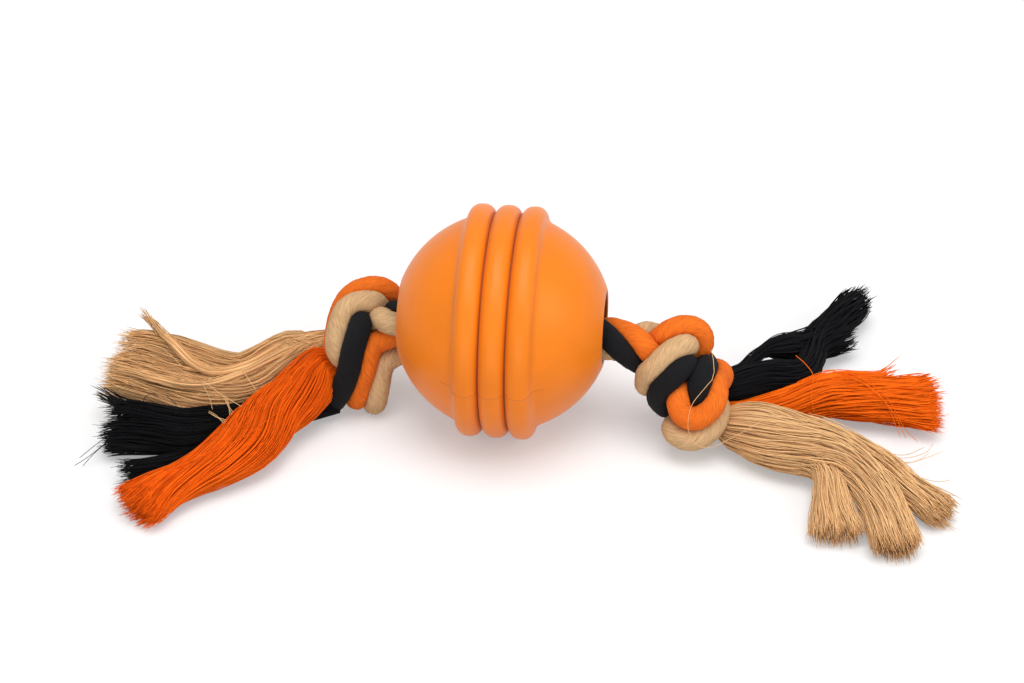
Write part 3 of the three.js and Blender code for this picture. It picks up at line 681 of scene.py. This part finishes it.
def yarn_material(name):
    """Loose yarn: each one a little paler or darker than the next."""
    colour = YARN_COLOURS[name]
    material, nodes, links, shader = new_material(f"{name}_yarn_loose", colour, YARN_ROUGHNESS)
    island = nodes.new("ShaderNodeNewGeometry").outputs["Random Per Island"]
    shade = shade_between(nodes, links, island, colour, YARN_SHADES, 0.0, 1.0)
    links.new(shade, shader.inputs["Base Color"])
    shader.inputs["Specular IOR Level"].default_value = 0.15
    return material


RUBBER = rubber_material()
STRAND = {name: strand_material(name) for name in STRANDS}
YARN = {name: yarn_material(name) for name in STRANDS}


# The rope's strands: laid through the ball, then along their settled routes through the knots.
def lay_run(strand, start, end):
    x = np.linspace(start, end, math.ceil(abs(end - start) / POINT_STEP) + 1)
    angle = LAY_ANGLE + 2 * np.pi * strand / len(STRANDS) + 2 * np.pi * x / LAY_PITCH
    return np.stack([x, LAY_RADIUS * np.cos(angle), ROPE_HEIGHT + LAY_RADIUS * np.sin(angle)], axis=1)


def turned(points, axis, angle):
    c, s = math.cos(angle), math.sin(angle)
    i, j = [(1, 2), (2, 0), (0, 1)][axis]
    made = points.copy()
    made[:, i] = c * points[:, i] - s * points[:, j]
    made[:, j] = s * points[:, i] + c * points[:, j]
    return made


def place_in_knot(end, points):
    """Points given right, up and front of a knot's middle."""
    right, up, front = np.array(points, float).T
    return turned(turned(np.stack([right, -front, up], axis=1), 0, -KNOT_LEAN), 2, KNOT_TURN) + end["middle"]


def drawn_route(end, name):
    """The strand's points before settling, with how many are fixed at each end."""
    strand = end[name]
    knot = place_in_knot(end, strand["knot"])
    root = np.array(strand["root"], float)
    before_root = root - unit(np.array(strand["towards"]) - root) * POINT_STEP
    straight = lay_run(STRANDS.index(name), end["sign"] * CORE_HALF_LENGTH, end["sign"] * STRAIGHT_END)
    curve = spaced(through([straight[-1], *knot, before_root], ROUTE_POINTS), POINT_STEP)
    return np.vstack([straight[:-1], curve, [root]]), len(straight), 2


def push_apart(points, free, ignored, reach):
    gaps = points[:, None] - points[None]
    distance = np.linalg.norm(gaps, axis=2) + 1e-6
    short = np.where(ignored, 0, np.clip(reach - distance, 0, None)) / distance
    points[free] += (PUSH * np.einsum("ij,ijk->ik", short, gaps))[free]


def ease_bends(points, free):
    ahead, behind = np.roll(points, -1, axis=0), np.roll(points, 1, axis=0)
    middle = (ahead + behind) / 2
    step = np.linalg.norm(ahead - behind, axis=1) / 2
    bow = np.linalg.norm(middle - points, axis=1) + 1e-6
    share = np.clip(1 - step**2 / (2 * LEAST_BEND) / bow, 0, 1) / 2
    points[free] += ((middle - points) * share[:, None])[free]


def keep_outside(points, free):
    """Off the floor and out of the ball, apart from its hole."""
    points[free, 2] = np.maximum(points[free, 2], STRAND_SPACING / 2)
    centre = np.array([0, 0, AXIS_HEIGHT])
    out = points - centre
    distance = np.linalg.norm(out, axis=1, keepdims=True)
    least = BALL_RADIUS + STRAND_SPACING / 2
    in_hole = np.linalg.norm(out[:, 1:], axis=1) < HOLE_RADIUS - STRAND_SPACING / 2
    inside = free & ~in_hole & (distance[:, 0] < least)
    points[inside] = (centre + out / distance * least)[inside]


def free_points(points, fixed_first, fixed_last):
    """Which of a route's points may move."""
    place = np.arange(len(points))
    return (place >= fixed_first) & (place < len(points) - fixed_last)


def settle(routes):
    """Strands swell to full size, pulling straight and pushing each other apart."""
    sizes = [len(points) for points, _, _ in routes]
    points = np.vstack([points for points, _, _ in routes])
    line = np.repeat(np.arange(len(routes)), sizes)
    place = np.concatenate([np.arange(n) for n in sizes])
    free = np.concatenate([free_points(*route) for route in routes])
    ignored = (line[:, None] == line[None]) & (np.abs(place[:, None] - place[None]) < SELF_SKIP)
    home = points.copy()
    for turn in range(SETTLE_ROUNDS):
        swell = min(1, SWELL_START + (1 - SWELL_START) * turn / SWELL_ROUNDS)
        middle = (np.roll(points, -1, axis=0) + np.roll(points, 1, axis=0)) / 2
        points[free] += (TENSION * (middle - points) + HOME_PULL * (home - points))[free]
        for _ in range(CONTACT_PASSES):
            push_apart(points, free, ignored, STRAND_SPACING * swell)
            ease_bends(points, free)
            keep_outside(points, free)
    for _ in range(LAST_PASSES):
        push_apart(points, free, ignored, STRAND_SPACING)
        ease_bends(points, free)
        keep_outside(points, free)
    return np.split(points, np.cumsum(sizes)[:-1])


def clear_of_ball(skin, middle):
    """Skin flattened against the ball as it comes up to the knot, into its hole or out over it."""
    out = skin - [middle, 0, AXIS_HEIGHT]
    across = out * [0, 1, 1]
    distance = np.linalg.norm(out, axis=-1, keepdims=True)
    off_axis = np.linalg.norm(across, axis=-1, keepdims=True)
    outwards = BALL_RADIUS - distance
    inwards = off_axis - HOLE_RADIUS + RIM_ROOM
    moved = np.where(outwards < inwards, out * outwards / distance, -across * inwards / off_axis)
    return np.where((outwards > 0) & (inwards > 0), skin + moved, skin)


def flattened_radius(strand, routes, ring):
    """How far the skin of routes[strand] lies from its middle: at most half way to a strand in its way."""
    line = routes[strand]
    radius = np.full(ring.shape[:2], STRAND_RADIUS)
    for other, neighbour in enumerate(routes):
        for near, point in enumerate(neighbour[::2]):
            gap = point - line
            distance = np.linalg.norm(gap, axis=1)
            close = distance < 2 * STRAND_RADIUS + FLATTEN_REACH
            if other == strand:
                close &= np.abs(np.arange(len(line)) - 2 * near) > 4 * STRAND_RADIUS / STRAND_STEP
            if not close.any():
                continue
            facing = np.einsum("isk,ik->is", ring[close], gap[close] / distance[close, None])
            limit = distance[close, None] / 2 / np.maximum(facing, LEAST_FACING)
            limit = np.where(facing > LEAST_FACING, limit, STRAND_RADIUS)
            radius[close] = np.minimum(radius[close], limit)
    for _ in range(2):
        radius = (np.roll(radius, 1, axis=1) + 2 * radius + np.roll(radius, -1, axis=1)) / 4
    return radius


def fuzz_lines(roots, outwards):
    """Short curled hairs that stand on the skin."""
    start = roots - FUZZ_DEPTH * outwards
    lean = outwards * rng.uniform(*FUZZ_STAND, FUZZ_COUNT)[:, None]
    lean = lean + FUZZ_LEAN * rng.normal(0, 1, (FUZZ_COUNT, 3))
    curl = rng.normal(0, FUZZ_CURL, (FUZZ_COUNT, 3))
    lean = unit(lean) * FUZZ_LENGTH * rng.uniform(*FUZZ_LENGTHS, FUZZ_COUNT)[:, None]
    return np.stack([start, start + 0.4 * lean + 0.15 * curl, start + 0.75 * lean + 0.6 * curl], axis=1)


def strand_mesh(name, strand, routes, ball_middle):
    """A soft tube along routes[strand] that flattens against the others and against itself."""
    line = routes[strand]
    count = len(line)
    across, over = (part[0] for part in frames(line[None]))
    angles = 2 * np.pi * np.arange(STRAND_SIDES) / STRAND_SIDES
    ring = across[:, None] * np.cos(angles)[:, None] + over[:, None] * np.sin(angles)[:, None]
    along = STRAND_STEP * np.arange(count)[:, None]
    radius = flattened_radius(strand, routes, ring)
    radius *= 1 - END_TAPER * np.clip(1 - (along[-1] - along) / END_TAPER_LENGTH, 0, 1)
    turn = angles[None] + 2 * np.pi * along / YARN_PITCH
    radius += RIDGE_HEIGHT * np.cos(RIDGES * turn + RIDGE_WANDER * np.sin(along / WANDER_LENGTH))
    radius += FINE_RIDGE_HEIGHT * np.cos(FINE_RIDGES * turn + 2)
    skin = clear_of_ball(line[:, None] + ring * radius[..., None], ball_middle)
    at = rng.integers(2, count - 2, FUZZ_COUNT)
    facing = rng.integers(0, STRAND_SIDES, FUZZ_COUNT)
    hairs = fuzz_lines(skin[at, facing], ring[at, facing])
    fuzz, fuzz_quads = tubes(hairs, FUZZ_RADIUS, FUZZ_SIDES)
    skin = skin.reshape(-1, 3)
    quads = np.vstack([tube_quads(1, count, STRAND_SIDES), fuzz_quads + len(skin)])
    made = make_mesh(name, np.vstack([skin, fuzz]), quads, STRAND[STRANDS[strand]])
    fibre = np.broadcast_to(FIBRE_STRETCH * along, turn.shape)
    yarn = np.stack([FIBRE_TURNS * np.cos(turn), FIBRE_TURNS * np.sin(turn), fibre], axis=-1)
    fuzz_yarn = np.repeat(yarn[at, facing], FUZZ_POINTS * FUZZ_SIDES, axis=0)
    yarn = np.vstack([yarn.reshape(-1, 3), fuzz_yarn])
    attribute = made.data.attributes.new("yarn", "FLOAT_VECTOR", "POINT")
    attribute.data.foreach_set("vector", yarn.astype(np.float32).ravel())
    return made


ROUTES = {}
for side, end in ENDS.items():
    settled = settle([drawn_route(end, name) for name in STRANDS])
    fine = [smoothed(spaced(route, STRAND_STEP), ROUTE_SMOOTHING) for route in settled]
    ROUTES[side] = [spaced(route, STRAND_STEP) for route in fine]

for side, end in ENDS.items():
    for strand, name in enumerate(STRANDS):
        made = strand_mesh(f"{side}_{name}_strand", strand, ROUTES[side], end["sign"] * BALL_ROOM[side])
        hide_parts(f"{side}_{name}_neck_strand", f"{side}_{name}_knot_strand")
        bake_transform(made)

core_runs = [lay_run(strand, -CORE_HALF_LENGTH, CORE_HALF_LENGTH) for strand in range(len(STRANDS))]
core_routes = [spaced(run, STRAND_STEP) for run in core_runs]
for strand, name in enumerate(STRANDS):
    made = strand_mesh(f"{name}_core", strand, core_routes, 0)
    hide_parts(f"{name}_core_strand")
    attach(made, "rope_core")


# Tassels: yarns that leave a strand's end together and part into locks.
def lock_spine(strand, stations):
    """A lock's middle with its half width and half height, and how far along it each point lies."""
    root = np.array(strand["root"], float)
    out = unit(np.array(strand["towards"]) - root)
    first = [*(root - LOCK_OVERLAP * out), LOCK_ROOT_RADIUS, LOCK_ROOT_RADIUS]
    spine = through([first, *stations], LOCK_RINGS)
    along = np.concatenate([[0], np.cumsum(np.linalg.norm(np.diff(spine[:, :3], axis=0), axis=1))])
    return spine, along


def lock_places(spine, along, place, u, v):
    """Points at place along a lock, u half widths to its side and v half heights over its middle."""
    at = [np.interp(place, along, spine[:, k]) for k in range(5)]
    beyond = np.clip(place - along[-1], 0, None)
    middle = np.stack(at[:3], axis=-1) + beyond[..., None] * unit(spine[-1, :3] - spine[-4, :3])
    ahead = unit(np.gradient(spine[:, :3], axis=0))
    tangent = np.stack([np.interp(place, along, ahead[:, k]) for k in range(3)], axis=-1)
    side = unit(np.cross([0, 0, 1], tangent))
    over = np.cross(tangent, side)
    points = middle + side * (u * at[3])[..., None] + over * (v * at[4])[..., None]
    return points, side, over


def lock_lines(strand, count, wave, twist, stations):
    """A lock's long yarns and those that show at its tip alone, each as lines of (yarns, points, 3)."""
    spine, along = lock_spine(strand, stations)
    clumps = max(3, count // YARNS_IN_CLUMP)
    bearing = (np.arange(count) + rng.uniform(0, 1, count)) / count
    clump = (bearing * clumps).astype(int)
    bearing = 2 * np.pi * bearing
    gathered = 2 * np.pi * (clump + 0.5) / clumps
    in_tip = rng.uniform(0, 1, count) < TIP_SHARE
    spread = np.sqrt(np.where(in_tip, rng.uniform(*TIP_SPREAD, count), rng.uniform(*SKIN_SPREAD, count)))
    bundle = np.sqrt(np.where(in_tip, spread**2, rng.uniform(*CLUMP_SPREAD, clumps)[clump]))
    ends = LOCK_END + rng.normal(0, END_SCATTER, count) + rng.normal(0, CLUMP_END_SCATTER, clumps)[clump]
    ends = np.clip(ends - TIP_ROUNDING * (spread * np.cos(bearing + twist / 2)) ** 2, *END_LIMITS)
    start = np.where(in_tip, TIP_START, 0)
    t = start[:, None] + (ends - start)[:, None] * np.linspace(0, 1, YARN_POINTS)
    place = t * along[-1]

    # Yarns draw together into clumps between the strand's end and the tip.
    drawn = np.clip((t - DRAW_START) / DRAW_LENGTH, 0, 1)
    drawn *= np.clip((RELEASE_END - t) / RELEASE_LENGTH, 0, 1)
    angle = bearing[:, None] + DRAW_TURN * drawn * (gathered - bearing)[:, None] + twist * (t - 0.5)
    far = spread[:, None] + DRAW_DEPTH * drawn * (bundle - spread)[:, None]
    lines, side, over = lock_places(spine, along, place, far * np.cos(angle), far * np.sin(angle))

    # A clump waves as one, each yarn drifts by itself and the ends fray.
    phase = rng.uniform(0, 2 * np.pi, clumps)[clump][:, None] + rng.normal(0, PHASE_SCATTER, count)[:, None]
    waves = wave * np.clip(t * 3, 0, 1)
    swing = waves * np.sin(2 * np.pi * place / SIDE_WAVE_LENGTH + phase)
    lift = waves * np.cos(2 * np.pi * place / LIFT_WAVE_LENGTH + 1.3 * phase)
    own = rng.normal(0, 1, (count, 6))
    slow, fast = np.sin(3 * t + own[:, 1:2]), np.sin(8 * t + own[:, 3:4])
    swing += SIDE_DRIFT * t**2 * (own[:, :1] * slow + 0.5 * own[:, 2:3] * fast)
    lift += LIFT_DRIFT * t**2 * own[:, 4:5] * np.sin(5 * t + own[:, 5:])
    frayed = np.clip((t - FRAY_START) / (1 - FRAY_START), 0, 1.2)[..., None] ** 2
    lines += side * swing[..., None] + over * lift[..., None] + frayed * rng.normal(0, FRAY, (count, 1, 3))
    lines[..., 2] = np.maximum(lines[..., 2], YARN_RADIUS + YARN_FLOOR_GAP)
    return lines[~in_tip], lines[in_tip, ::TIP_POINT_STEP]


def lock_core(strand, stations):
    """The yarns inside a lock, which aren't seen one by one."""
    spine, along = lock_spine(strand, stations)
    t = np.linspace(CORE_START, CORE_END, CORE_RINGS)
    turn = np.linspace(0, 2 * np.pi, CORE_SIDES, endpoint=False)
    share = CORE_SHARE * np.sqrt(np.clip((1 - t) / CORE_TAPER, LEAST_CORE, 1))[:, None]
    place = np.repeat((t * along[-1])[:, None], CORE_SIDES, axis=1)
    points = lock_places(spine, along, place, share * np.cos(turn), share * np.sin(turn))[0]
    points[..., 2] = np.maximum(points[..., 2], CORE_FLOOR_GAP)
    return points.reshape(-1, 3), tube_quads(1, len(t), CORE_SIDES)


for label, tassel in TASSELS.items():
    side, name = label.split("_")
    strand = ENDS[side][name]
    yarns = [lines for lock in tassel["locks"] for lines in lock_lines(strand, *lock)]
    loose = [through(points, YARN_POINTS) for points in tassel["loose"]]
    if label == "right_tan":
        loose.append(through(place_in_knot(ENDS["right"], STRAY_YARN), YARN_POINTS))
    pieces = [tubes(lines, YARN_RADIUS, YARN_SIDES) for lines in yarns]
    pieces.append(tubes(np.array(loose), LOOSE_RADIUS, YARN_SIDES))
    pieces += [lock_core(strand, stations) for _, _, _, stations in tassel["locks"]]
    starts = np.cumsum([0] + [len(vertices) for vertices, _ in pieces])
    vertices = np.vstack([vertices for vertices, _ in pieces])
    quads = np.vstack([quads + start for (_, quads), start in zip(pieces, starts)])
    made = make_mesh(f"{label}_yarns", vertices, quads, YARN[name])
    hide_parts(f"{label}_tassel")
    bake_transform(made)


# Ball: an outline of distance from the axis and place along it, revolved about the rope's axis.
def arc(centre_r, centre_x, radius, start, end, count):
    angle = np.linspace(start, end, count)
    return np.stack([centre_r + radius * np.sin(angle), centre_x + radius * np.cos(angle)], axis=1)


def ball_outline():
    cavity = BALL_RADIUS - BALL_WALL
    outer_rib = RIB_PITCH + RIB_LAND / 2 + RIB_ROUND
    mouth = math.asin((HOLE_RADIUS + RIM_ROUND) / BALL_RADIUS)
    shoulder = math.acos(outer_rib / BALL_RADIUS)
    rim_x = BALL_RADIUS * math.cos(mouth)
    ribs = []
    for x in (RIB_PITCH, 0, -RIB_PITCH):
        right = (x + RIB_LAND / 2, GROOVE_ANGLE, math.pi / 2)
        left = (x - RIB_LAND / 2, math.pi / 2, math.pi - GROOVE_ANGLE)
        for middle, start, end in (right, left):
            ribs.append(arc(RIB_TOP_RADIUS - RIB_ROUND, middle, RIB_ROUND, start, end, RIB_POINTS))
    rim = arc(HOLE_RADIUS + RIM_ROUND, rim_x - RIM_ROUND, RIM_ROUND, -math.pi / 2, 0, RIM_POINTS)
    half = np.vstack([rim, arc(0, 0, BALL_RADIUS, mouth, shoulder, SPHERE_POINTS)])
    outside = np.vstack([half, *ribs, half[::-1] * [1, -1]])
    inner = math.asin(HOLE_RADIUS / cavity)
    inside = arc(0, 0, cavity, math.pi - inner, inner, CAVITY_POINTS)
    outside = spaced(outside, OUTLINE_STEP)
    corner = np.minimum(
        np.linalg.norm(outside - [BALL_RADIUS * math.sin(shoulder), outer_rib], axis=1),
        np.linalg.norm(outside - [BALL_RADIUS * math.sin(shoulder), -outer_rib], axis=1),
    )
    soft = np.exp(-((corner / (SHOULDER_BLEND * SHOULDER_FILLET)) ** 2))[:, None]
    return np.vstack([outside * (1 - soft) + smoothed(outside, SHOULDER_ROUNDS) * soft, inside])


def away_from_parting(angles):
    """How far round the ball each angle lies from the nearer parting line."""
    return np.abs((angles - PARTING_ANGLE + np.pi / 2) % np.pi - np.pi / 2)


def make_ball():
    outline = ball_outline()
    even = np.linspace(0, 2 * np.pi, BALL_COLUMNS, endpoint=False)
    fine = np.linspace(-3, 3, PARTING_COLUMNS) * PARTING_WIDTH / BALL_RADIUS
    partings = (PARTING_ANGLE, PARTING_ANGLE + np.pi)
    away = away_from_parting(even)
    close = [(fine + parting) % (2 * np.pi) for parting in partings]
    angles = np.sort(np.concatenate([even[away > PARTING_BAND], *close]))
    away = away_from_parting(angles)
    flash = PARTING_HEIGHT * np.exp(-((away * BALL_RADIUS / PARTING_WIDTH) ** 2))
    outer = outline[:, 0] > BALL_RADIUS - BALL_WALL / 2
    outer |= np.abs(outline[:, 1]) > BALL_RADIUS - BALL_WALL
    radius = outline[:, 0][:, None] + flash[None] * outer[:, None]
    along = np.broadcast_to(outline[:, 1][:, None], radius.shape)
    vertices = np.stack([along, -radius * np.cos(angles), AXIS_HEIGHT + radius * np.sin(angles)], axis=-1)
    rows, columns = radius.shape
    row, column = np.meshgrid(np.arange(rows), np.arange(columns), indexing="ij")
    below, beside = (row + 1) % rows, (column + 1) % columns
    corners = [(row, column), (row, beside), (below, beside), (below, column)]
    quads = np.stack([r * columns + c for r, c in corners], axis=-1).reshape(-1, 4)
    made = make_mesh("ball", vertices.reshape(-1, 3), quads, RUBBER)
    # Painted shade for the inside attribute: darker with depth below the ball's surface, inside the hole and
    # cavity, and less in the grooves between the ribs.
    depth = BALL_RADIUS - np.linalg.norm(outline, axis=1)
    groove = (outline[:, 0] > BALL_RADIUS - BALL_WALL / 2) & (np.abs(outline[:, 1]) < 2 * RIB_PITCH)
    inside = np.clip((depth - HOLLOW_SHADE_START) / HOLLOW_SHADE_FADE, 0, 1) * np.where(groove, GROOVE_SHADE_SHARE, 1)
    # Painted shade along the parting line's step, in the same attribute.
    line = PARTING_SHADE * flash / PARTING_HEIGHT
    inside = np.maximum(inside[:, None], line[None] * outer[:, None]).ravel()
    made.data.attributes.new("inside", "FLOAT", "POINT").data.foreach_set("value", inside.astype(np.float32))
    return made


ball = make_ball()
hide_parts("ball_shell")
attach(ball, "ball")


# Stage: a white floor that keeps the shadow, and soft light from above, in front and the right.
def seen_or_mirrored(nodes, links):
    """1 for a ray from the camera, also by way of something shiny, and 0 for one that only carries light."""
    path = nodes.new("ShaderNodeLightPath")
    seen = path.outputs["Is Camera Ray"]
    for ray in ("Is Glossy Ray", "Is Transmission Ray"):
        either = nodes.new("ShaderNodeMath")
        either.operation = "MAXIMUM"
        links.new(seen, either.inputs[0])
        links.new(path.outputs[ray], either.inputs[1])
        seen = either.outputs["Value"]
    return seen


def stronger_where_seen(nodes, links, lit, extra, strength):
    """Sets a strength of lit, with extra where it is seen."""
    total = nodes.new("ShaderNodeMath")
    total.operation = "MULTIPLY_ADD"
    total.inputs[1].default_value = extra
    total.inputs[2].default_value = lit
    links.new(seen_or_mirrored(nodes, links), total.inputs[0])
    links.new(total.outputs["Value"], strength)


def floor_material():
    material, nodes, links, shader = new_material("floor", FLOOR_COLOUR, FLOOR_ROUGHNESS)
    shader.inputs["Emission Color"].default_value = (1, 1, 1, 1)
    stronger_where_seen(nodes, links, 0, FLOOR_GLOW, shader.inputs["Emission Strength"])
    return material


floor_corners = FLOOR_REACH * np.array([(-1, -1, 0), (1, -1, 0), (1, 1, 0), (-1, 1, 0)]) - [0, 0, FLOOR_DROP]
make_mesh("floor", floor_corners, np.array([[0, 1, 2, 3]]), floor_material())


def soft_light(name, place, size, power):
    data = bpy.data.lights.new(name, "AREA")
    data.size = size * MM
    data.energy = power
    light = bpy.data.objects.new(name, data)
    light.location = [x * MM for x in place]
    towards = np.array(LAMP_TARGET) - np.array(place)
    light.rotation_euler = (
        math.atan2(math.hypot(towards[0], towards[1]), -towards[2]),
        0,
        math.atan2(-towards[0], towards[1]),
    )
    bpy.context.scene.collection.objects.link(light)


for name, lamp in LAMPS.items():
    soft_light(name, *lamp)

world = bpy.data.worlds.new("studio")
world.use_nodes = True
background = world.node_tree.nodes["Background"]
background.inputs["Color"].default_value = (1, 1, 1, 1)
stronger_where_seen(
    world.node_tree.nodes, world.node_tree.links, WORLD_LIGHT, 1 - WORLD_LIGHT, background.inputs["Strength"]
)
bpy.context.scene.world = world
bpy.context.scene.view_settings.view_transform = "Standard"
